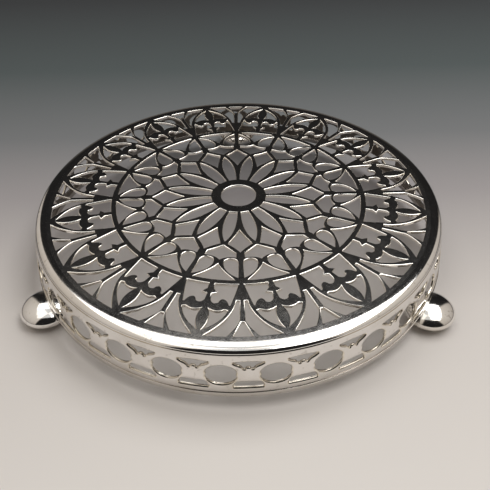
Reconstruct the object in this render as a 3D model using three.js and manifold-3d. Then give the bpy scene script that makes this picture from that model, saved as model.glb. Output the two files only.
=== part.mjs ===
// Silver teapot stand: a pierced tracery plate on a pierced gallery ring, with three ball feet.
// Millimetres, +Z up. The stand rests on z = 0, and the origin lies under the middle of its box.
import * as THREE from 'three';
import { mergeVertices } from 'three/addons/utils/BufferGeometryUtils.js';
import Module from 'manifold-3d';

// The rim's outer edge: every other piece takes its place from this size.
const rimRadius = 84.6;

// Rim moulding round the plate
const rimWidth = 4.7;         // from the plate's seat to the rim's outer edge
const rimHeight = 1.6;
const bevelDrop = 0.85;       // fall of the wide bevel
const crownShare = 0.38;      // share of that fall at the middle of the bevel
const rollWidth = 1;          // rounded part outside the bevel
const rollDrop = 0.5;
const rimUndercut = 0.6;      // how far the underside steps in below the widest edge
const ledgeWidth = 1.1;       // part of the rim that lies under the plate's border

// Tracery plate
const sheetThickness = 1.1;
const traceryRepeats = 16;
const hubHoleRadius = 7.6;
const hubRingWidth = 4.1;
const ringShare = 0.6507;     // inner edge of the middle ring, as a share of the plate's radius
const ringWidth = 1.9;
const borderWidth = 1.4;      // plain border outside the tracery

// Gallery ring
const galleryRepeats = 29;
const galleryHeight = 17.1;
const gallerySetback = 0.1;   // how far its upper edge stands inside the rim's edge
const galleryFlare = 2.3;     // how far its foot stands outside its upper edge
const galleryThickness = 0.9;
const stripAbove = 1.8;       // plain strip over the piercings
const stripBelow = 2.4;       // plain strip under the piercings
const galleryTurnDegrees = 1; // from the front to the middle of a repeat

// Base wire under the gallery
const wireHeight = 2;
const wireReach = 0.75;       // how far it stands outside the gallery's foot
const wireWidth = 2;
const wireSlope = 0.55;       // how far its face runs out from its upper edge to its lower one
const wireRound = 0.4;

// Feet: compressed balls, slotted over the base wire
const ringClearance = 6.2;    // height of the base wire above the table
const footReach = 1.2;        // how far a ball's centre stands outside the gallery's foot
const footDegrees = { back: 89.6, left: 208.4, right: 326.8 };
const ballRadius = 10;
const ballHeight = 9.2;
const footFlatRadius = 2.5;   // flat spot that the foot rests on

// Clearances
const solderGap = 0.1;        // between flat faces that are soldered together
const fitGap = 0.3;           // beside an edge that sits in another piece

// Facets
const ringFacets = 2 * galleryRepeats;
const footFacets = 24;
const hubFacets = 24;
const ballSteps = 8;
const stepShare = 0.11;       // of the middle ring's radius, between points of a drawn curve
const fewestSteps = 2;        // in a drawn curve
const weldDistance = 1e-5;

// Heights and radii that follow from the sizes above
const galleryBottom = ringClearance + wireHeight + solderGap;
const rimBottom = galleryBottom + galleryHeight + solderGap;
const plateTop = rimBottom + rimHeight;
const seatRadius = rimRadius - rimWidth;
const plateRadius = seatRadius - fitGap;
const borderRadius = plateRadius - borderWidth;
const ringRadius = plateRadius * ringShare;
const hubRadius = hubHoleRadius + hubRingWidth;
const galleryTopRadius = rimRadius - gallerySetback;
const galleryFootRadius = galleryTopRadius + galleryFlare;
const wireRadius = galleryFootRadius + wireReach;
const footCircleRadius = galleryFootRadius + footReach;

const wasm = await Module();
wasm.setup();

function silver(color, roughness) {
  return new THREE.MeshStandardMaterial({ color, roughness, metalness: 1 });
}

// Welds shared corners and drops the empty triangles that a revolve leaves on its axis.
function weld(geometry) {
  geometry.deleteAttribute('normal');
  geometry.deleteAttribute('uv');
  const merged = mergeVertices(geometry, weldDistance);
  const index = [...merged.index.array];
  const kept = [];
  for (let i = 0; i < index.length; i += 3) {
    const [a, b, c] = index.slice(i, i + 3);
    if (a !== b && b !== c && c !== a) kept.push(a, b, c);
  }
  merged.setIndex(kept);
  return merged;
}

function solidOf(geometry) {
  const vertProperties = new Float32Array(geometry.attributes.position.array);
  const triVerts = new Uint32Array(geometry.index.array);
  return new wasm.Manifold(new wasm.Mesh({ numProp: 3, vertProperties, triVerts }));
}

function geometryOf(solid) {
  const mesh = solid.getMesh();
  const geometry = new THREE.BufferGeometry();
  geometry.setAttribute('position', new THREE.BufferAttribute(mesh.vertProperties, 3));
  geometry.setIndex(new THREE.BufferAttribute(mesh.triVerts, 1));
  return geometry;
}

// A profile of [radius, height] points, turned round the vertical axis.
function revolve(profile, facets) {
  const points = profile.map(([radius, height]) => new THREE.Vector2(radius, height));
  return weld(new THREE.LatheGeometry(points, facets).rotateX(Math.PI / 2));
}

function piece(name, geometry, material) {
  geometry.computeVertexNormals();
  const mesh = new THREE.Mesh(geometry, material);
  mesh.name = name;
  return mesh;
}

function polar(radius, angle) {
  return new THREE.Vector2(radius * Math.cos(angle), radius * Math.sin(angle));
}

// The tracery is drawn beside an upright ray in shares of the middle ring's radius: x across,
// y outward. Each zone of the drawing is stretched between two edges of the real plate.
const rose = { drawn: [0.222, 0.977], real: [hubRadius, ringRadius] };
const arcade = { drawn: [1.014, 1.476], real: [ringRadius + ringWidth, borderRadius] };
const drawnRepeats = 16;

function placeOnRay(point, zone, ray) {
  const share = Math.atan2(point.x, point.y) * drawnRepeats / traceryRepeats;
  const radius = THREE.MathUtils.mapLinear(point.length(), ...zone.drawn, ...zone.real);
  return polar(radius, ray - share);
}

// An opening that mirrors itself about the ray: right side drawn, left side added.
function mirrored(draw) {
  const right = new THREE.Path();
  draw(right);
  return { right, closes: true };
}

// An opening on the right of the ray, with a twin on its left.
function paired(draw) {
  const right = new THREE.Path();
  draw(right);
  return { right, closes: false };
}

// Points of a drawn path: straight lines need only their ends, and longer curves more steps.
function pathPoints(path) {
  const points = [];
  for (const curve of path.curves) {
    const wanted = Math.max(fewestSteps, Math.ceil(curve.getLength() / stepShare));
    points.push(...curve.getPoints(curve.isLineCurve ? 1 : wanted).slice(0, -1));
  }
  points.push(path.curves.at(-1).getPoint(1));
  return points;
}

function flip(points) {
  return points.map((point) => new THREE.Vector2(-point.x, point.y)).reverse();
}

function sameSpot(a, b) {
  return a.distanceTo(b) < weldDistance;
}

// Every outline of one opening: a single closed one, or a right one and its left twin.
function outlinesOf({ right, closes }) {
  const side = pathPoints(right);
  if (!closes) return [side.slice(0, -1), flip(side.slice(0, -1))];
  const loop = [...side, ...flip(side)];
  return [loop.filter((point, i) => !sameSpot(point, loop[(i + 1) % loop.length]))];
}

// Point of the ring-shaped edge at drawn radius `radius`, `x` beside the ray
function onArc(radius, x) {
  return [x, Math.sqrt(radius * radius - x * x)];
}

// Openings on the half-way rays, between two junctions
const roseEdge = rose.drawn[1];
const arcadeFoot = arcade.drawn[0];
const arcadeEdge = arcade.drawn[1];

const petal = mirrored((p) => p
  .moveTo(...onArc(rose.drawn[0], 0.033))
  .bezierCurveTo(0.052, 0.33, 0.068, 0.47, 0, 0.582));

const shield = mirrored((p) => p
  .moveTo(0, 0.617)
  .lineTo(0.107, 0.69)
  .lineTo(0.118, 0.738)
  .quadraticCurveTo(0.04, 0.733, 0, 0.777));

const spandrel = mirrored((p) => p
  .moveTo(0, 0.815)
  .quadraticCurveTo(0.034, 0.88, ...onArc(roseEdge, 0.152))
  .lineTo(0, roseEdge));

const lowerLight = paired((p) => p
  .moveTo(...onArc(arcadeFoot, 0.018))
  .lineTo(...onArc(arcadeFoot, 0.182))
  .quadraticCurveTo(0.176, 1.1, 0.162, 1.205)
  .lineTo(0.148, 1.203)
  .quadraticCurveTo(0.13, 1.155, 0.1, 1.152)
  .quadraticCurveTo(0.082, 1.16, 0.08, 1.185)
  .quadraticCurveTo(0.045, 1.215, 0.018, 1.17)
  .lineTo(0.012, 1.11)
  .lineTo(0.05, 1.095)
  .lineTo(0.02, 1.065)
  .lineTo(...onArc(arcadeFoot, 0.018)));

const upperLight = paired((p) => p
  .moveTo(0.018, 1.243)
  .quadraticCurveTo(0.08, 1.28, 0.13, 1.24)
  .lineTo(0.155, 1.247)
  .quadraticCurveTo(0.138, 1.35, 0.012, 1.435)
  .quadraticCurveTo(0.062, 1.34, 0.018, 1.243));

// Openings on the junction rays
const kite = mirrored((p) => p
  .moveTo(0, 0.433)
  .quadraticCurveTo(0.02, 0.479, 0.092, 0.597)
  .quadraticCurveTo(0.036, 0.642, 0, 0.693));

const heartLobe = paired((p) => p
  .moveTo(0.018, 0.955)
  .lineTo(0.0145, 0.82)
  .quadraticCurveTo(0.0145, 0.753, 0.07, 0.753)
  .quadraticCurveTo(0.124, 0.753, 0.124, 0.81)
  .quadraticCurveTo(0.119, 0.8975, 0.018, 0.955));

const sideLight = paired((p) => p
  .moveTo(0.014, 1.165)
  .lineTo(0.038, 1.163)
  .quadraticCurveTo(0.0635, 1.328, ...onArc(arcadeEdge, 0.255))
  .lineTo(...onArc(arcadeEdge, 0.105))
  .quadraticCurveTo(0.0335, 1.393, 0.016, 1.34)
  .lineTo(0.014, 1.165));

const forkLight = mirrored((p) => p
  .moveTo(0.012, 1.35)
  .lineTo(...onArc(arcadeEdge, 0.068)));

const halfRayOpenings = [[petal, rose], [shield, rose], [spandrel, rose],
  [lowerLight, arcade], [upperLight, arcade]];
const rayOpenings = [[kite, rose], [heartLobe, rose], [sideLight, arcade], [forkLight, arcade]];

function traceryHoles() {
  const step = 2 * Math.PI / traceryRepeats;
  const holes = [new THREE.Path().absarc(0, 0, hubHoleRadius, 0, 2 * Math.PI, true)];
  for (let i = 0; i < traceryRepeats; i += 1) {
    const ray = Math.PI / 2 + i * step;
    for (const [openings, angle] of [[rayOpenings, ray], [halfRayOpenings, ray + step / 2]]) {
      for (const [opening, zone] of openings) {
        for (const outline of outlinesOf(opening)) {
          holes.push(new THREE.Path(outline.map((point) => placeOnRay(point, zone, angle))));
        }
      }
    }
  }
  return holes;
}

// The plate: one sheet, pierced with the whole tracery.
function piercedPlate() {
  const facetAngles = Array.from({ length: ringFacets }, (_, i) => i * 2 * Math.PI / ringFacets);
  const shape = new THREE.Shape(facetAngles.map((angle) => polar(plateRadius, angle)));
  shape.holes = traceryHoles();
  const options = { depth: sheetThickness, bevelEnabled: false, curveSegments: hubFacets };
  const sheet = new THREE.ExtrudeGeometry(shape, options);
  return weld(sheet.translate(0, 0, plateTop - sheetThickness));
}

// The rim: a rabbet that holds the plate's edge, a wide bevel, and a roll down to the gallery.
function rimMoulding() {
  const ledgeTop = plateTop - sheetThickness - solderGap;
  const bevelEnd = plateTop - bevelDrop;
  const crown = (seatRadius + rimRadius - rollWidth) / 2;
  return revolve([
    [plateRadius - ledgeWidth, rimBottom],
    [rimRadius - rimUndercut, rimBottom],
    [rimRadius, bevelEnd - rollDrop],
    [rimRadius - rollWidth, bevelEnd],
    [crown, plateTop - bevelDrop * crownShare],
    [seatRadius, plateTop],
    [seatRadius, ledgeTop],
    [plateRadius - ledgeWidth, ledgeTop],
    [plateRadius - ledgeWidth, rimBottom],
  ], ringFacets);
}

// Gallery repeat, laid flat: u runs from -1 to 1 across it, v from 0 to 1 up the piercings.
const ovalCentreShare = 0.46;
const ovalHeightShare = 0.345;
const ovalWidthShare = 0.615;
const ovalCuspShare = 0.05;

// Right half of an oval that stands on the repeat's left edge, from its foot to its head
function halfOval() {
  const angles = [-90, -52, -18, 0, 18, 52, 90].map(THREE.MathUtils.degToRad);
  return angles.map((angle) => {
    const reach = ovalWidthShare * Math.cos(angle) - (angle === 0 ? ovalCuspShare : 0);
    return [reach - 1, ovalCentreShare + ovalHeightShare * Math.sin(angle)];
  });
}

const bowOpening = [[-0.2, 0.93], [-0.57, 0.87], [-0.36, 0.77], [-0.18, 0.665], [0, 0.72],
  [0.18, 0.665], [0.36, 0.77], [0.57, 0.87], [0.2, 0.93]];
const footOpening = [[-0.58, 0], [0.58, 0], [0.41, 0.235], [-0.41, 0.235]];

function galleryRepeat() {
  const rise = galleryHeight - stripAbove - stripBelow;
  const lift = ([u, v]) => new THREE.Vector2(u, stripBelow + v * rise);
  const edge = [-1, 0, 1];
  const mirror = ([u, v]) => [-u, v];
  const contour = [
    ...edge.map((u) => new THREE.Vector2(u, 0)),
    ...halfOval().map(mirror).map(lift),
    ...edge.map((u) => new THREE.Vector2(-u, galleryHeight)),
    ...halfOval().reverse().map(lift),
  ];
  return { contour, holes: [bowOpening.map(lift), footOpening.map(lift)] };
}

// Bends the flat repeat round the ring, inner face and outer face, and closes every cut edge.
function pierceGallery() {
  const { contour, holes } = galleryRepeat();
  const loops = [contour, ...holes.map((hole) => [...hole].reverse())];
  const flat = loops.flat();
  const faces = THREE.ShapeUtils.triangulateShape(contour, loops.slice(1));
  const halfStep = Math.PI / galleryRepeats;
  const start = THREE.MathUtils.degToRad(galleryTurnDegrees) - Math.PI / 2;
  const positions = [];
  const index = [];
  const bend = (point, repeat, depth) => {
    const angle = (2 * repeat + point.x) * halfStep + start;
    const radius = THREE.MathUtils.mapLinear(
      point.y, 0, galleryHeight, galleryFootRadius, galleryTopRadius) - depth;
    const spot = polar(radius, angle);
    return [spot.x, spot.y, galleryBottom + point.y];
  };
  for (let repeat = 0; repeat < galleryRepeats; repeat += 1) {
    const outer = positions.length / 3;
    const inner = outer + flat.length;
    for (const depth of [0, galleryThickness]) {
      for (const point of flat) positions.push(...bend(point, repeat, depth));
    }
    for (const [a, b, c] of faces) index.push(outer + a, outer + b, outer + c);
    for (const [a, b, c] of faces) index.push(inner + a, inner + c, inner + b);
    let first = 0;
    for (const loop of loops) {
      for (let i = 0; i < loop.length; i += 1) {
        const j = (i + 1) % loop.length;
        const onSeam = Math.abs(loop[i].x) === 1 && loop[i].x === loop[j].x;
        const [a, b] = [first + i, first + j];
        if (!onSeam) index.push(outer + a, inner + a, outer + b, outer + b, inner + a, inner + b);
      }
      first += loop.length;
    }
  }
  const geometry = new THREE.BufferGeometry();
  geometry.setAttribute('position', new THREE.Float32BufferAttribute(positions, 3));
  geometry.setIndex(index);
  return weld(geometry);
}

// The base wire: its face runs out a little from the gallery's foot to a rounded lower edge.
function wireProfile(grow) {
  const inner = wireRadius - wireWidth - grow;
  const outer = wireRadius + grow;
  const bottom = ringClearance - grow;
  const top = ringClearance + wireHeight + grow;
  return [
    [inner, bottom],
    [outer - wireRound / 2, bottom],
    [outer, bottom + wireRound],
    [outer - wireSlope, top],
    [inner, top],
    [inner, bottom],
  ];
}

// The strip of the gallery's foot that stands in a foot's slot
function galleryFootProfile(grow) {
  const inner = galleryFootRadius - galleryThickness - grow;
  const outer = galleryFootRadius + grow;
  const top = ballHeight + grow;
  const bottom = ringClearance;
  return [[inner, bottom], [outer, bottom], [outer, top], [inner, top], [inner, bottom]];
}

// A foot: a compressed ball with a flat spot below, cut where the wire and the gallery pass.
function ballFoot(centre) {
  const flatAngle = Math.acos(footFlatRadius / ballRadius);
  const halfHeight = ballHeight / (1 + Math.sin(flatAngle));
  const profile = [[0, 0]];
  for (let i = 0; i <= ballSteps; i += 1) {
    const angle = THREE.MathUtils.lerp(-flatAngle, Math.PI / 2, i / ballSteps);
    const rise = Math.sin(flatAngle) + Math.sin(angle);
    profile.push([i === ballSteps ? 0 : ballRadius * Math.cos(angle), halfHeight * rise]);
  }
  const ball = solidOf(revolve(profile, footFacets).translate(centre.x, centre.y, 0));
  const wireSlot = solidOf(revolve(wireProfile(fitGap), ringFacets));
  const gallerySlot = solidOf(revolve(galleryFootProfile(fitGap), ringFacets));
  return geometryOf(ball.subtract(wireSlot).subtract(gallerySlot));
}

const stand = new THREE.Group();
stand.add(
  piece('pierced_plate', piercedPlate(), silver(0xc4c2bf, 0.12)),
  piece('rim_moulding', rimMoulding(), silver(0xd8d5d0, 0.14)),
  piece('gallery_band', pierceGallery(), silver(0xccc8c2, 0.18)),
  piece('base_wire', revolve(wireProfile(0), ringFacets), silver(0xd2cec8, 0.16)),
);
for (const [side, degrees] of Object.entries(footDegrees)) {
  const centre = polar(footCircleRadius, THREE.MathUtils.degToRad(degrees));
  stand.add(piece(`foot_${side}`, ballFoot(centre), silver(0xdedbd6, 0.08)));
}

const middle = new THREE.Box3().setFromObject(stand).getCenter(new THREE.Vector3());
stand.position.set(-middle.x, -middle.y, 0);

export default stand;
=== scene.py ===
"""Looks for the silver teapot stand: finer meshes, silver finishes, floor, light and camera.

Shapes are drawn in millimetres about the ring's own axis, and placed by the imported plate's box.
"""

import math

import bpy
from mathutils import Matrix, Vector
from mathutils.geometry import delaunay_2d_cdt, tessellate_polygon


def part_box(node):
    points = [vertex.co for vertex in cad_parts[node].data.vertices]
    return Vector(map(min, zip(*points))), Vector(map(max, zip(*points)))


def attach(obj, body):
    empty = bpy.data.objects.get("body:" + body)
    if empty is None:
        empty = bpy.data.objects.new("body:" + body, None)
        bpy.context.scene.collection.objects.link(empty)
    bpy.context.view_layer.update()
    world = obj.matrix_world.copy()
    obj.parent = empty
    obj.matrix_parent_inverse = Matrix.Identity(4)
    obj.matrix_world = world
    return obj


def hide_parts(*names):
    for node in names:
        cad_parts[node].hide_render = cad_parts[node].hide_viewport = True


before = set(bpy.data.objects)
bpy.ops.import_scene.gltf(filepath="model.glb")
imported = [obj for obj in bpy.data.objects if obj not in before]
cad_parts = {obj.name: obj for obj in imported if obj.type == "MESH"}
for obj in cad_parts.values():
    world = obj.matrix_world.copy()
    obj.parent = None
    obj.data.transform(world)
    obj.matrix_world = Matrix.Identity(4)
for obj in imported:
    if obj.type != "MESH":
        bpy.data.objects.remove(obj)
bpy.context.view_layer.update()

MM = 0.001
TINY = 1e-6
PLATE_LOW, PLATE_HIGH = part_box("pierced_plate")
AXIS_X = (PLATE_LOW[0] + PLATE_HIGH[0]) / 2
AXIS_Y = (PLATE_LOW[1] + PLATE_HIGH[1]) / 2

# Tracery plate
REPEATS = 16
HUB_HOLE_RADIUS = 7.6
HUB_HOLE_FACETS = 96
HUB_RADIUS = 11.7
RING_INNER = 51.8
RING_OUTER = 53.7
BORDER_RADIUS = 78.2
PLATE_RADIUS = 79.88
PLATE_TOP = PLATE_HIGH[2] / MM
# Zones of openings: their radii as drawn, in shares of the ring's radius, and as cut
ROSE = ((0.222, 0.977), (HUB_RADIUS, RING_INNER))
ARCADE = ((1.014, 1.476), (RING_OUTER, BORDER_RADIUS))
# The sawn edges' section, from face to back: each step's distance into the metal, and its depth
SAWN_EDGE = ((0.1, 0), (0, 0.02), (-0.09, 0.07), (-0.16, 0.15), (-0.21, 0.26), (-0.23, 0.4),
             (-0.23, 1.04), (-0.17, 1.1))

# Rim
RIM_BOTTOM = PLATE_TOP - 1.6
LEDGE_RADIUS = 78.25
LEDGE_TOP = RIM_BOTTOM + 0.42
LEDGE_ROUNDING = 0.1
SEAT_RADIUS = 79.9
# The crown from its seat to its edge: radius, and fall in degrees there
CROWN = ((SEAT_RADIUS, 0.6), (80.7, 2), (82, 8), (82.9, 20), (83.6, 31), (84.1, 48), (84.3, 62))
CROWN_STEPS = 5
SKIRT_FLARE = 0.02

# Gallery
GALLERY_REPEATS = 29
GALLERY_HEIGHT = 17.1
GALLERY_BOTTOM = 8.3
GALLERY_TOP_RADIUS = 84.5
GALLERY_FOOT_RADIUS = 86.8
GALLERY_BULGE = 0.35
GALLERY_TURN = math.radians(1)
STRIP_ABOVE = 1.8
STRIP_BELOW = 2.4
HALF_REPEAT = 9.2          # mm round the ring, from the middle of a repeat to its edge
# The gallery's cut edges, as SAWN_EDGE
CUT_EDGE = ((0.32, 0), (0.26, 0.02), (-0.08, 0.23), (-0.14, 0.31), (-0.16, 0.44), (-0.16, 0.84),
            (-0.1, 0.9))
OVAL_CENTRE = 0.46
OVAL_HALF_HEIGHT = 0.345
OVAL_HALF_WIDTH = 0.615
OVAL_STEP = 5              # degrees
OVAL_CUSP = 0.06
CUSP_SPREAD = 13           # degrees

# Base wire's section: radius, height and rounding of each corner
WIRE_RADIUS = 87.1
WIRE_INNER = 85.55
WIRE_BOTTOM = 6.2
WIRE_TOP = 8.4
WIRE_SECTION = ((WIRE_INNER, WIRE_BOTTOM, 0.2), (WIRE_RADIUS - 0.15, WIRE_BOTTOM, 0.25),
                (WIRE_RADIUS, WIRE_BOTTOM + 0.6, 0.3), (WIRE_RADIUS - 0.1, WIRE_TOP, 0.08),
                (WIRE_INNER, WIRE_TOP, 0.2))

# Feet
FOOT_CIRCLE = 88
FOOT_ANGLES = {"back": 89.6, "left": 208.4, "right": 326.8}
BALL_RADIUS = 10
BALL_HEIGHT = 9.2
BALL_ROWS = 40
BALL_FACETS = 96
FOOT_FLAT = 2.5

# Meshes
COLUMNS = 12                       # facets round each gallery repeat
TURNS = GALLERY_REPEATS * COLUMNS  # facets round every turned piece
CREASE = math.radians(32)          # sharper edges than this stay crisp
GRID = (16, 12)                    # inner points across and up each gallery repeat
GRID_CLEARANCE = 0.45              # mm that these keep from the edges
BEND_GAP = 0.1                     # longest step across a repeat, of which 2 is the whole
ON_SEAM = 0.999                    # points further across than this lie on a seam
MERGE_GAP = 1e-5                   # mm between points that the triangulation joins
MITRE_SHARPEST = 0.5               # keeps the mitre of a sharp corner short
SHORTEST_EDGE = 0.3                # least share of an edge that its mitres leave
EASING_ROUNDS = 16                 # times that a mitre which leaves less is eased
EASED = 0.8                        # what each easing leaves of it

# Silver's noises: features per metre, the part of each that shows, and what it does
CLOUDS = 55
CLOUD_SPAN = (0.38, 0.68)
GLOSS_SPAN = (0.3, 0.7)
GLOSS_RANGE = (0.75, 1.3)          # times a finish's roughness
SCRATCHES = 900
SCRATCH_SPAN = (0.35, 0.75)
SCRATCH_GLOSS = (-0.02, 0.04)      # added to the roughness
SPECKS = 620
SPECK_SPAN = (0.64, 0.71)
SPECK_SHARE = 0.28                 # how far a speck's colour goes to tarnish
SPECK_GLOSS = 0.02
DUST = 2600
DUST_SHARE = 0.25
RELIEF = 0.00012                   # metres
PAINTED_SHADE_HEIGHTS = (0.006, 0.014)     # metres between which the painted shade at the foot of the gallery and wire thins out
# how far the painted shade at the foot goes to the tarnish colour
PAINTED_SHADE_SHARE = 0.45

# Floor, in metres: a sheet whose colour runs back through these stops, from one depth to another; its
# darkening towards the back is painted shade for the light falling off
FLOOR_REACH = 3.0
FADE = (-0.12, 0.34)
FADE_STOPS = ((0.0, (224, 220, 216)), (0.16, (210, 205, 201)), (0.33, (158, 154, 155)),
              (0.457, (119, 121, 123)), (0.65, (83, 90, 91)), (0.95, (62, 64, 66)))
PAPER_ROUGHNESS = 0.85
PAPER_SPECULAR = 0.1

# Lamps that look straight down, in metres: name, middle, width and depth, and the radiance that
# a mirror shows
LAMP_HEIGHT = 1.0
LAMP_COLOR = (1.0, 0.995, 0.985)
LAMPS = (("overhead", (0.45, 0.1175), (0.54, 1.075), 3.9),
         ("overhead_rear", (-0.21, 0.4525), (0.78, 0.405), 1.8),
         ("overhead_left", (-0.21, -0.085), (0.78, 0.67), 0.68))

# World, by shares of a direction: how far it points right, back and up, and how far sideways
# its level part goes. The cards start at one sideways share on the left, another on the right.
LEFT_TO_RIGHT = (-0.3, 0.3)
CARD_START = (0.59, 0.74)
CARD_SOFTNESS = 0.03
CARD_LIFT = (0.03, 0.09)
CARD_LOW_COLOR = (162, 154, 147)
CARD_HIGH_COLOR = (217, 209, 199)
ROOM_COLOR = (30, 29, 29)
GLOW_COLOR = (118, 112, 106)       # low down, behind the stand
GLOW_UP = (0.08, 0.38)
GLOW_BACK = (0, 0.4)
GLOW_SIDEWAYS = (0.3, 0.5)
LEAST_LEVEL = 0.001                # keeps the sideways share finite straight up

# Camera, fitted to the tracery's rings: place in mm from the middle of the plate's top
CAMERA_PLACE = (-1.993, -205.258, 151.061)
YAW, PITCH, ROLL = 0.0223, 0.7182, 0.0094
LENS = 43.7
SENSOR = 36
NEAREST = 0.005                    # metres


class Nodes:
    """A node tree, with short calls that add and join nodes."""

    def __init__(self, tree):
        self.tree = tree

    def add(self, kind, values=(), **settings):
        """A new node. values pairs its inputs, by name or place, with numbers or sockets."""
        node = self.tree.nodes.new(kind)
        for key, value in settings.items():
            setattr(node, key, value)
        for key, value in dict(values).items():
            self.feed(value, node.inputs[key])
        return node

    def feed(self, value, socket):
        if isinstance(value, bpy.types.NodeSocket):
            self.tree.links.new(value, socket)
        else:
            socket.default_value = value

    def place(self, kind="Object"):
        return self.add("ShaderNodeTexCoord").outputs[kind]

    def xyz(self, vector):
        return self.add("ShaderNodeSeparateXYZ", {"Vector": vector}).outputs

    def stretch(self, vector, scale):
        return self.add("ShaderNodeMapping", {"Vector": vector, "Scale": scale}).outputs[0]

    def noise(self, vector, scale, detail=3.0, roughness=0.55):
        values = {"Vector": vector, "Scale": scale, "Detail": detail, "Roughness": roughness}
        return self.add("ShaderNodeTexNoise", values).outputs["Fac"]

    def span(self, value, low, high, to_low=0, to_high=1, smooth=False):
        values = {"Value": value, "From Min": low, "From Max": high,
                  "To Min": to_low, "To Max": to_high}
        kind = "SMOOTHSTEP" if smooth else "LINEAR"
        return self.add("ShaderNodeMapRange", values, interpolation_type=kind).outputs["Result"]

    def math(self, operation, *values):
        return self.add("ShaderNodeMath", enumerate(values), operation=operation).outputs[0]

    def mix(self, share, first, second):
        values = {0: share, 6: first, 7: second}
        return self.add("ShaderNodeMix", values, data_type="RGBA").outputs[2]

    def bump(self, height, strength, distance):
        values = {"Height": height, "Strength": strength, "Distance": distance}
        return self.add("ShaderNodeBump", values).outputs["Normal"]


def new_material(name):
    """A material, its nodes and its shader."""
    material = bpy.data.materials.new(name)
    material.use_nodes = True
    n = Nodes(material.node_tree)
    return material, n, n.tree.nodes["Principled BSDF"]


def rgb(red, green, blue):
    """A screen colour from 0 to 255 as linear light."""
    def linear(value):
        share = value / 255
        return share / 12.92 if share <= 0.04045 else ((share + 0.055) / 1.055) ** 2.4
    return (linear(red), linear(green), linear(blue), 1)


# the colour of the tarnish specks, and also of the painted shade at the foot of the gallery and wire
TARNISH_AND_SHADE = rgb(132, 121, 108)


def silver(name, clean, worn, rough, bumps, grain=(1, 1, 1), foot_shade=None):
    """Polished silver: cloudy wear in colour and gloss, small tarnish specks, hairline scratches, and at
    will painted shade that darkens it towards the foot.
    """
    material, n, shader = new_material(name)
    place = n.place()
    clouds = n.noise(place, CLOUDS, 4)
    scratches = n.noise(n.stretch(place, grain), SCRATCHES, 5, 0.65)
    dust = n.noise(place, DUST, 2)
    specks = n.noise(place, SPECKS, 2, 0.4)
    color = n.mix(n.span(clouds, *CLOUD_SPAN, smooth=True), clean, worn)
    color = n.mix(n.span(specks, *SPECK_SPAN, 0, SPECK_SHARE, True), color, TARNISH_AND_SHADE)
    # painted shade: darker towards the foot, between the given heights
    if foot_shade:
        color = n.mix(n.span(n.xyz(place)["Z"], *foot_shade, PAINTED_SHADE_SHARE, 0, True), color, TARNISH_AND_SHADE)
    gloss = n.span(clouds, *GLOSS_SPAN, *(rough * share for share in GLOSS_RANGE))
    gloss = n.math("ADD", gloss, n.span(scratches, *SCRATCH_SPAN, *SCRATCH_GLOSS))
    gloss = n.math("ADD", gloss, n.span(specks, *SPECK_SPAN, 0, SPECK_GLOSS, True))
    relief = n.math("ADD", scratches, n.math("MULTIPLY", dust, DUST_SHARE))
    n.feed(color, shader.inputs["Base Color"])
    n.feed(gloss, shader.inputs["Roughness"])
    n.feed(1.0, shader.inputs["Metallic"])
    n.feed(n.bump(relief, bumps, RELIEF), shader.inputs["Normal"])
    return material


PLATE_FINISH = silver("plate_top_silver", rgb(240, 238, 235), rgb(224, 219, 212), 0.13, 0.03)
CUT_FINISH = silver("sawn_edge_silver", rgb(250, 247, 242), rgb(238, 232, 222), 0.14, 0.1,
                    grain=(1, 1, 0.15))
RIM_FINISH = silver("rim_silver", rgb(246, 244, 241), rgb(237, 233, 227), 0.09, 0.04,
                    grain=(1, 1, 4))
# the gallery and the foot wire: painted shade darkens them towards the foot
BAND_FINISH = silver("gallery_silver", rgb(234, 231, 228), rgb(220, 216, 210), 0.12, 0.06,
                     grain=(1, 1, 5), foot_shade=PAINTED_SHADE_HEIGHTS)
LIGHT_FINISH = silver("gallery_edge_silver", rgb(234, 228, 216), rgb(212, 203, 186), 0.16, 0.1)
# painted shade: the plate's underside and the gallery's inner faces are darkened silver
INSIDE_FINISH = silver("painted_shade_inside_silver", rgb(150, 143, 135), rgb(112, 104, 95), 0.3, 0.06)
FOOT_FINISH = silver("foot_silver", rgb(243, 241, 238), rgb(230, 225, 217), 0.1, 0.03)


def new_piece(name, points, faces, finishes, replaced, kinds=(), flat=()):
    """A mesh piece from millimetre points about the ring's axis.

    kinds gives each face's finish by its place in finishes, and flat lists flat-shaded faces.
    """
    mesh = bpy.data.meshes.new(name)
    mesh.from_pydata([(AXIS_X + x * MM, AXIS_Y + y * MM, z * MM) for x, y, z in points], [], faces)
    for finish in finishes:
        mesh.materials.append(finish)
    mesh.shade_smooth()
    mesh.set_sharp_from_angle(angle=CREASE)
    for face, kind in zip(mesh.polygons, kinds):
        face.material_index = kind
    for index in flat:
        mesh.polygons[index].use_smooth = False
    mesh.update()
    piece = bpy.data.objects.new(name, mesh)
    bpy.context.collection.objects.link(piece)
    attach(piece, "root")
    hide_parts(replaced)


def polar(radius, angle):
    return (radius * math.cos(angle), radius * math.sin(angle))


def circle(radius, count):
    return [polar(radius, 2 * math.pi * i / count) for i in range(count)]


def lerp(a, b, share):
    return a + (b - a) * share


def turned(profile):
    """Points and faces of a closed counterclockwise profile of (radius, height), turned."""
    points = []
    faces = []
    count = len(profile)
    for turn in range(TURNS):
        angle = 2 * math.pi * turn / TURNS
        points += [(*polar(radius, angle), height) for radius, height in profile]
        here, there = turn * count, (turn + 1) % TURNS * count
        for i in range(count):
            j = (i + 1) % count
            faces.append((here + i, there + i, there + j, here + j))
    return points, faces


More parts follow.
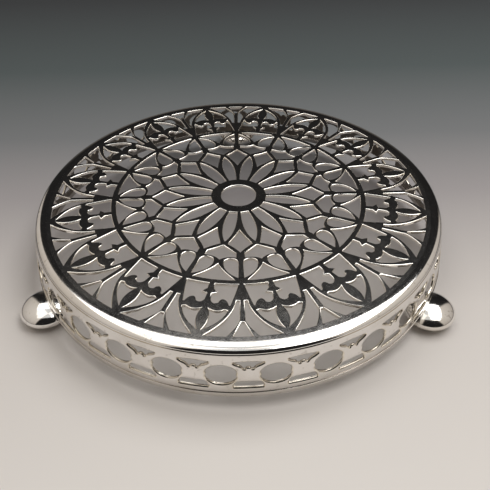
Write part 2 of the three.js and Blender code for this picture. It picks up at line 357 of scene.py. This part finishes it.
def rounded(corners, steps=4):
    """A profile from (radius, height, rounding) corners, each replaced by a small curve."""
    profile = []
    for i, (x, y, size) in enumerate(corners):
        if not size:
            profile.append((x, y))
            continue
        here = Vector((x, y))
        before = (Vector(corners[i - 1][:2]) - here).normalized() * size
        after = (Vector(corners[(i + 1) % len(corners)][:2]) - here).normalized() * size
        for step in range(steps + 1):
            share = step / steps
            spot = here + before * (1 - share) ** 2 + after * share ** 2
            profile.append(tuple(spot))
    return profile


def quadratic(start, control, end, steps=10):
    return [tuple(lerp(lerp(a, b, t), lerp(b, c, t), t) for a, b, c in zip(start, control, end))
            for t in [step / steps for step in range(1, steps + 1)]]


def cubic(start, first, second, end, steps=20):
    def at(a, b, c, d, t):
        s = 1 - t
        return s ** 3 * a + 3 * s * s * t * b + 3 * s * t * t * c + t ** 3 * d
    return [tuple(at(*axis, step / steps) for axis in zip(start, first, second, end))
            for step in range(1, steps + 1)]


def arc(start, end, step=0.014):
    """Points along the circle about the axis from start to end, step radians apart."""
    radius = math.hypot(*start)
    first, last = math.atan2(start[0], start[1]), math.atan2(end[0], end[1])
    steps = max(1, round(abs(last - first) / step))
    angles = [lerp(first, last, i / steps) for i in range(1, steps + 1)]
    return [(radius * math.sin(angle), radius * math.cos(angle)) for angle in angles]


def drawn(start, *segments):
    """Points of a path. A segment is ("arc", end), (end,), (control, end) or (control, control, end)."""
    points = [start]
    for segment in segments:
        if segment[0] == "arc":
            points += arc(points[-1], segment[1])
        elif len(segment) == 1:
            points.append(segment[0])
        elif len(segment) == 2:
            points += quadratic(points[-1], *segment)
        else:
            points += cubic(points[-1], *segment)
    return points


def on_arc(radius, x):
    return (x, math.sqrt(radius * radius - x * x))


def without_repeats(loop):
    return [p for i, p in enumerate(loop) if math.dist(p, loop[i - 1]) > TINY]


def mirrored(side):
    """One closed outline from its right side, whose ends lie on or beside the ray."""
    return [without_repeats(side + [(-x, y) for x, y in reversed(side)])]


def paired(side):
    """A closed outline and its twin on the other side of the ray."""
    side = side[:-1] if math.dist(side[0], side[-1]) < TINY else side
    return [side, [(-x, y) for x, y in side]]


# Openings are drawn beside a ray that runs up from the axis. HALF_RAY's go midway between two of
# the plate's rays, and FULL_RAY's on each of them.
(ROSE_FOOT, ROSE_EDGE), (ARCADE_FOOT, ARCADE_EDGE) = ROSE[0], ARCADE[0]

HALF_RAY = [
    (ROSE, mirrored(drawn(on_arc(ROSE_FOOT, 0.033), ((0.052, 0.33), (0.068, 0.47), (0, 0.582))))),
    (ROSE, mirrored(drawn((0, 0.617), ((0.107, 0.69),), ((0.118, 0.738),),
                          ((0.04, 0.733), (0, 0.777))))),
    (ROSE, mirrored(drawn((0, 0.815), ((0.034, 0.88), on_arc(ROSE_EDGE, 0.152)),
                          ("arc", (0, ROSE_EDGE))))),
    (ARCADE, paired(drawn(on_arc(ARCADE_FOOT, 0.018), ("arc", on_arc(ARCADE_FOOT, 0.182)),
                          ((0.176, 1.1), (0.162, 1.205)), ((0.148, 1.203),),
                          ((0.13, 1.155), (0.1, 1.152)), ((0.082, 1.16), (0.08, 1.185)),
                          ((0.045, 1.215), (0.018, 1.17)), ((0.012, 1.11),), ((0.05, 1.095),),
                          ((0.02, 1.065),)))),
    (ARCADE, paired(drawn((0.018, 1.243), ((0.08, 1.28), (0.13, 1.24)), ((0.155, 1.247),),
                          ((0.138, 1.35), (0.012, 1.435)), ((0.062, 1.34), (0.018, 1.243))))),
]
FULL_RAY = [
    (ROSE, mirrored(drawn((0, 0.433), ((0.02, 0.479), (0.092, 0.597)),
                          ((0.036, 0.642), (0, 0.693))))),
    (ROSE, paired(drawn((0.018, 0.955), ((0.0145, 0.82),), ((0.0145, 0.753), (0.07, 0.753)),
                        ((0.124, 0.753), (0.124, 0.81)), ((0.119, 0.8975), (0.018, 0.955))))),
    (ARCADE, paired(drawn((0.014, 1.165), ((0.038, 1.163),),
                          ((0.0635, 1.328), on_arc(ARCADE_EDGE, 0.255)),
                          ("arc", on_arc(ARCADE_EDGE, 0.105)), ((0.0335, 1.393), (0.016, 1.34))))),
    (ARCADE, mirrored(drawn((0.012, 1.35), (on_arc(ARCADE_EDGE, 0.068),),
                            ("arc", (0, ARCADE_EDGE))))),
]


def place_on_ray(point, zone, ray):
    """Where a drawn point lies on the plate, for a ray at this angle."""
    (drawn_low, drawn_high), (real_low, real_high) = zone
    share = (math.hypot(*point) - drawn_low) / (drawn_high - drawn_low)
    return polar(lerp(real_low, real_high, share), ray - math.atan2(point[0], point[1]))


def signed_area(loop):
    return sum(a[0] * b[1] - a[1] * b[0] for a, b in zip(loop, loop[1:] + loop[:1])) / 2


def facing(loop, counterclockwise):
    return loop if (signed_area(loop) > 0) == counterclockwise else loop[::-1]


def mitres(loop, widest):
    """How each corner moves to its left per mm of step in, eased where the edge would fold."""
    ways = []
    for i, here in enumerate(loop):
        before, after = loop[i - 1], loop[(i + 1) % len(loop)]
        first = Vector((before[1] - here[1], here[0] - before[0])).normalized()
        second = Vector((here[1] - after[1], after[0] - here[0])).normalized()
        ways.append((first + second) / max(1 + first.dot(second), MITRE_SHARPEST))
    for _ in range(EASING_ROUNDS):
        folded = set()
        for i, here in enumerate(loop):
            j = (i + 1) % len(loop)
            along = Vector(loop[j]) - Vector(here)
            left = (along + (ways[j] - ways[i]) * widest).dot(along)
            if left < SHORTEST_EDGE * along.length_squared:
                folded |= {i, j}
        for i in folded:
            ways[i] = ways[i] * EASED
        if not folded:
            break
    return ways


def tracery_outlines():
    """The plate's edge, the hub's hole and the openings round all rays."""
    step = 2 * math.pi / REPEATS
    loops = [circle(PLATE_RADIUS, TURNS), facing(circle(HUB_HOLE_RADIUS, HUB_HOLE_FACETS), False)]
    for repeat in range(REPEATS):
        ray = math.pi / 2 + repeat * step
        for openings, angle in ((FULL_RAY, ray), (HALF_RAY, ray + step / 2)):
            for zone, outlines in openings:
                for outline in outlines:
                    loops.append(facing([place_on_ray(p, zone, angle) for p in outline], False))
    return loops


def build_plate():
    """The pierced sheet. Its openings' edges follow SAWN_EDGE, and its outer edge drops straight."""
    loops = tracery_outlines()
    ways = [mitres(loop, min(inset for inset, _ in SAWN_EDGE)) for loop in loops]
    ways[0] = [Vector((0, 0))] * len(loops[0])
    points = []
    faces = []
    for inset, depth in SAWN_EDGE:
        for loop, way in zip(loops, ways):
            points += [(x + step.x * inset, y + step.y * inset, PLATE_TOP - depth)
                       for (x, y), step in zip(loop, way)]
    total = sum(len(loop) for loop in loops)
    for ring in range(len(SAWN_EDGE) - 1):
        first = ring * total
        for loop in loops:
            for i in range(len(loop)):
                j = (i + 1) % len(loop)
                faces.append((first + i, first + total + i, first + total + j, first + j))
            first += len(loop)
    walls = len(faces)
    outlines = [point for loop in loops for point in loop]
    last = (len(SAWN_EDGE) - 1) * total
    for a, b, c in tessellate_polygon([[Vector((*p, 0)) for p in loop] for loop in loops]):
        up = signed_area([outlines[a], outlines[b], outlines[c]]) > 0
        a, c = (a, c) if up else (c, a)
        faces.append((a, b, c))
        faces.append((last + c, last + b, last + a))
    # the underside takes INSIDE_FINISH, darkened as painted shade
    kinds = [1] * walls + [0, 2] * ((len(faces) - walls) // 2)
    new_piece("plate", points, faces, [PLATE_FINISH, CUT_FINISH, INSIDE_FINISH],
              "pierced_plate", kinds, flat=range(walls, len(faces)))


# The gallery's repeat is drawn flat: u runs -1 to 1 across it, and v up its pierced height

def half_oval():
    """Right half of the oval on the repeat's left edge, from its foot to its head."""
    spots = []
    for degrees in range(-90, 91, OVAL_STEP):
        angle = math.radians(degrees)
        cusp = OVAL_CUSP * max(0, 1 - abs(degrees) / CUSP_SPREAD)
        reach = OVAL_HALF_WIDTH * math.cos(angle) - cusp
        spots.append((reach - 1, OVAL_CENTRE + OVAL_HALF_HEIGHT * math.sin(angle)))
    return spots


BOW = drawn((0, 0.72), ((0.07, 0.725), (0.1, 0.675)), ((0.15, 0.64), (0.21, 0.685)),
            ((0.28, 0.76), (0.36, 0.775)), ((0.52, 0.82), (0.585, 0.865)),
            ((0.6, 0.905), (0.54, 0.9)), ((0.25, 0.925), (0, 0.93)))
FOOT_LIGHT = drawn((0, 0), ((0.5, 0),), ((0.58, 0), (0.585, 0.05)), ((0.52, 0.2), (0.41, 0.235)),
                   ((0.2, 0.245), (0, 0.245)))


def even_odd(spot, loops):
    """Whether a spot is in the metal between the outline and its holes."""
    inside = False
    x, y = spot
    for loop in loops:
        for a, b in zip(loop, loop[1:] + loop[:1]):
            if (a[1] > y) != (b[1] > y) and x < a[0] + (y - a[1]) / (b[1] - a[1]) * (b[0] - a[0]):
                inside = not inside
    return inside


def spaced(points, gap):
    """Splits the long steps of an open path, so that it can bend round the ring."""
    result = [points[0]]
    for a, b in zip(points, points[1:]):
        parts = max(1, math.ceil(abs(b[0] - a[0]) / gap - TINY))
        result += [(lerp(a[0], b[0], i / parts), lerp(a[1], b[1], i / parts))
                   for i in range(1, parts + 1)]
    return result


def repeat_loops():
    """The repeat's outline between two half ovals, and its two holes. Heights are in mm."""
    rise = GALLERY_HEIGHT - STRIP_ABOVE - STRIP_BELOW

    def lift(points):
        return [(u, STRIP_BELOW + v * rise) for u, v in points]

    edge = [(-1 + 2 * i / COLUMNS, 0.0) for i in range(COLUMNS + 1)]
    top = [(-u, GALLERY_HEIGHT) for u, _ in edge]
    oval = lift(half_oval())
    seam = STRIP_BELOW * 0.5
    outline = without_repeats(edge + [(1.0, seam)] + [(-u, height) for u, height in oval]
                              + top + oval[::-1] + [(-1.0, seam)])
    holes = [mirrored(spaced(lift(side), BEND_GAP))[0] for side in (BOW, FOOT_LIGHT)]
    return [facing(outline, True)] + [facing(hole, False) for hole in holes]


def gallery_repeat():
    """Flat points, triangles and cut edges of one repeat."""
    loops = repeat_loops()
    border = [p for loop in loops for p in loop]
    across, up = GRID
    grid = [(-1 + 2 * i / across, GALLERY_HEIGHT * j / up)
            for i in range(1, across) for j in range(1, up)]
    flat = [Vector(p) for p in border]
    flat += [Vector(p) for p in grid if even_odd(p, loops)
             and min(math.hypot((p[0] - q[0]) * HALF_REPEAT, p[1] - q[1])
                     for q in border) > GRID_CLEARANCE]
    edges = []
    first = 0
    for loop in loops:
        edges += [(first + i, first + (i + 1) % len(loop)) for i in range(len(loop))]
        first += len(loop)
    scaled = [Vector((p.x * HALF_REPEAT, p.y)) for p in flat]
    _, _, triangles, origins, _, _ = delaunay_2d_cdt(scaled, edges, [], 0, MERGE_GAP)
    source = [origin[0] for origin in origins]
    kept = []
    for face in triangles:
        a, b, c = (source[i] for i in face)
        middle = ((flat[a].x + flat[b].x + flat[c].x) / 3, (flat[a].y + flat[b].y + flat[c].y) / 3)
        if even_odd(middle, loops):
            kept.append((a, b, c))
    return flat, kept, edges


def build_gallery():
    """The repeat, bent round a flared and slightly bulging ring. Repeats share their seams."""
    flat, triangles, edges = gallery_repeat()
    step = math.pi / GALLERY_REPEATS
    cut = [(a, b) for a, b in edges
           if not (abs(flat[a].x) > ON_SEAM and abs(flat[a].x - flat[b].x) < TINY)]
    inward = {}
    for a, b in cut:
        across = Vector(((flat[b].x - flat[a].x) * HALF_REPEAT, flat[b].y - flat[a].y)).normalized()
        normal = Vector((-across.y, across.x))
        for end in (a, b):
            inward[end] = inward.get(end, Vector((0, 0))) + normal
    for key, total in inward.items():
        if abs(flat[key].x) > ON_SEAM:
            total.x = 0
        inward[key] = total.normalized()
    points = []
    known = {}

    def spot(repeat, key, inset, depth):
        """Index of a flat point's place on the ring, at one step of the edges' section."""
        u, height = flat[key]
        if key in inward:
            u += inward[key].x * inset / HALF_REPEAT
            height += inward[key].y * inset
        angle = (2 * repeat + u) * step + GALLERY_TURN - math.pi / 2
        share = height / GALLERY_HEIGHT
        radius = lerp(GALLERY_FOOT_RADIUS, GALLERY_TOP_RADIUS, share) - depth
        radius += 4 * GALLERY_BULGE * share * (1 - share)
        place = (*polar(radius, angle), GALLERY_BOTTOM + height)
        name = tuple(round(value, 4) for value in place)
        if name not in known:
            known[name] = len(points)
            points.append(place)
        return known[name]

    faces = []
    sides = []
    outer, inner = CUT_EDGE[0], CUT_EDGE[-1]
    for repeat in range(GALLERY_REPEATS):
        for a, b, c in triangles:
            faces.append([spot(repeat, key, *outer) for key in (a, b, c)])
            faces.append([spot(repeat, key, *inner) for key in (a, c, b)])
        for a, b in cut:
            for high, low in zip(CUT_EDGE, CUT_EDGE[1:]):
                sides.append([spot(repeat, a, *high), spot(repeat, a, *low),
                              spot(repeat, b, *low), spot(repeat, b, *high)])
    # the inner faces take INSIDE_FINISH, darkened as painted shade
    kinds = [0, 2] * (len(faces) // 2) + [1] * len(sides)
    new_piece("gallery", points, faces + sides, [BAND_FINISH, LIGHT_FINISH, INSIDE_FINISH],
              "gallery_band", kinds)


def build_rim():
    """A rabbet round the plate under a crown that falls ever faster towards the outer edge."""
    height = PLATE_TOP
    crown = [(SEAT_RADIUS, height, 0)]
    for (inner, gentle), (outer, steep) in zip(CROWN, CROWN[1:]):
        for i in range(CROWN_STEPS):
            fall = math.radians(lerp(gentle, steep, (i + 0.5) / CROWN_STEPS))
            height -= (outer - inner) / CROWN_STEPS * math.tan(fall)
            crown.append((lerp(inner, outer, (i + 1) / CROWN_STEPS), height, 0))
    profile = rounded([
        (LEDGE_RADIUS, RIM_BOTTOM, LEDGE_ROUNDING),
        (LEDGE_RADIUS, LEDGE_TOP, LEDGE_ROUNDING),
        (SEAT_RADIUS, LEDGE_TOP, 0),
        *crown,
        (crown[-1][0] + SKIRT_FLARE, RIM_BOTTOM, 0),
    ])
    points, faces = turned(profile[::-1])
    new_piece("rim", points, faces, [RIM_FINISH], "rim_moulding")


def build_wire():
    points, faces = turned(rounded(WIRE_SECTION))
    new_piece("foot_wire", points, faces, [BAND_FINISH], "base_wire")


def build_foot(side, degrees):
    """A compressed ball with a small flat spot where it stands."""
    centre = polar(FOOT_CIRCLE, math.radians(degrees))
    flat_angle = math.acos(FOOT_FLAT / BALL_RADIUS)
    half = BALL_HEIGHT / (1 + math.sin(flat_angle))
    points = [(*centre, 0.0)]
    for row in range(BALL_ROWS):
        angle = lerp(-flat_angle, math.pi / 2, row / BALL_ROWS)
        height = half * (math.sin(flat_angle) + math.sin(angle))
        points += [(centre[0] + x, centre[1] + y, height)
                   for x, y in circle(BALL_RADIUS * math.cos(angle), BALL_FACETS)]
    points.append((*centre, BALL_HEIGHT))
    faces = []
    for turn in range(BALL_FACETS):
        following = (turn + 1) % BALL_FACETS
        faces.append((0, 1 + following, 1 + turn))
        for row in range(BALL_ROWS - 1):
            low, high = 1 + row * BALL_FACETS, 1 + (row + 1) * BALL_FACETS
            faces.append((low + turn, low + following, high + following, high + turn))
        top = 1 + (BALL_ROWS - 1) * BALL_FACETS
        faces.append((top + turn, top + following, len(points) - 1))
    new_piece(f"ball_{side}", points, faces, [FOOT_FINISH], f"foot_{side}")


def build_floor():
    """A pale sheet whose colour runs back into slate grey: painted shade for the light falling off
    towards the back.
    """
    material, n, shader = new_material("paper")
    ramp = n.add("ShaderNodeValToRGB", {"Fac": n.span(n.xyz(n.place())["Y"], *FADE)})
    elements = ramp.color_ramp.elements
    while len(elements) < len(FADE_STOPS):
        elements.new(0.5)
    for element, (at, color) in zip(elements, FADE_STOPS):
        element.position = at
        element.color = rgb(*color)
    n.feed(ramp.outputs["Color"], shader.inputs["Base Color"])
    n.feed(PAPER_ROUGHNESS, shader.inputs["Roughness"])
    n.feed(PAPER_SPECULAR, shader.inputs["Specular IOR Level"])
    mesh = bpy.data.meshes.new("floor")
    corners = [(x * FLOOR_REACH, y * FLOOR_REACH, 0) for x, y in ((-1, -1), (1, -1), (1, 1), (-1, 1))]
    mesh.from_pydata(corners, [], [(0, 1, 2, 3)])
    mesh.materials.append(material)
    floor = bpy.data.objects.new("floor", mesh)
    bpy.context.collection.objects.link(floor)


def build_lamp(name, middle, size, radiance):
    data = bpy.data.lights.new(name, "AREA")
    data.shape = "RECTANGLE"
    data.size, data.size_y = size
    data.energy = radiance * math.pi * size[0] * size[1]
    data.color = LAMP_COLOR
    lamp = bpy.data.objects.new(name, data)
    bpy.context.collection.objects.link(lamp)
    lamp.location = (*middle, LAMP_HEIGHT)


def build_world():
    """A dark room with pale cards to the left and right, which stand a little off the table."""
    world = bpy.data.worlds.new("studio")
    bpy.context.scene.world = world
    world.use_nodes = True
    n = Nodes(world.node_tree)
    x, y, z = n.xyz(n.place("Generated"))
    level = n.math("SQRT", n.math("ADD", n.math("MULTIPLY", x, x), n.math("MULTIPLY", y, y)))
    side = n.math("DIVIDE", n.math("ABSOLUTE", x), n.math("MAXIMUM", level, LEAST_LEVEL))
    start = n.span(x, *LEFT_TO_RIGHT, *CARD_START)
    past = n.math("SUBTRACT", side, start)
    card = n.span(past, -CARD_SOFTNESS, CARD_SOFTNESS, smooth=True)
    lift = n.span(z, *CARD_LIFT, smooth=True)
    card_color = n.mix(z, rgb(*CARD_LOW_COLOR), rgb(*CARD_HIGH_COLOR))
    low = n.span(z, *GLOW_UP, 1, 0)
    behind = n.math("MULTIPLY", n.span(y, *GLOW_BACK), n.span(side, *GLOW_SIDEWAYS, 1, 0))
    room_color = n.mix(n.math("MULTIPLY", low, behind), rgb(*ROOM_COLOR), rgb(*GLOW_COLOR))
    color = n.mix(n.math("MULTIPLY", card, lift), room_color, card_color)
    n.feed(color, n.tree.nodes["Background"].inputs["Color"])


def build_camera():
    """The photograph's view."""
    ahead = Vector((math.sin(YAW) * math.cos(PITCH), math.cos(YAW) * math.cos(PITCH),
                    -math.sin(PITCH)))
    level = Vector((math.cos(YAW), -math.sin(YAW), 0))
    down = ahead.cross(level)
    right = math.cos(ROLL) * level + math.sin(ROLL) * down
    down = math.cos(ROLL) * down - math.sin(ROLL) * level
    turn = Matrix((right, -down, -ahead)).transposed().to_4x4()
    data = bpy.data.cameras.new("camera")
    data.sensor_width = SENSOR
    data.lens = LENS
    data.clip_start = NEAREST
    camera = bpy.data.objects.new("camera", data)
    bpy.context.collection.objects.link(camera)
    across, along, above = CAMERA_PLACE
    place = Vector((AXIS_X, AXIS_Y, 0)) + Vector((across, along, above + PLATE_TOP)) * MM
    camera.matrix_world = Matrix.Translation(place) @ turn
    bpy.context.scene.camera = camera


build_plate()
build_rim()
build_gallery()
build_wire()
for foot_side, foot_degrees in FOOT_ANGLES.items():
    build_foot(foot_side, foot_degrees)
build_floor()
for lamp_values in LAMPS:
    build_lamp(*lamp_values)
build_world()
build_camera()
bpy.context.scene.view_settings.view_transform = "Standard"
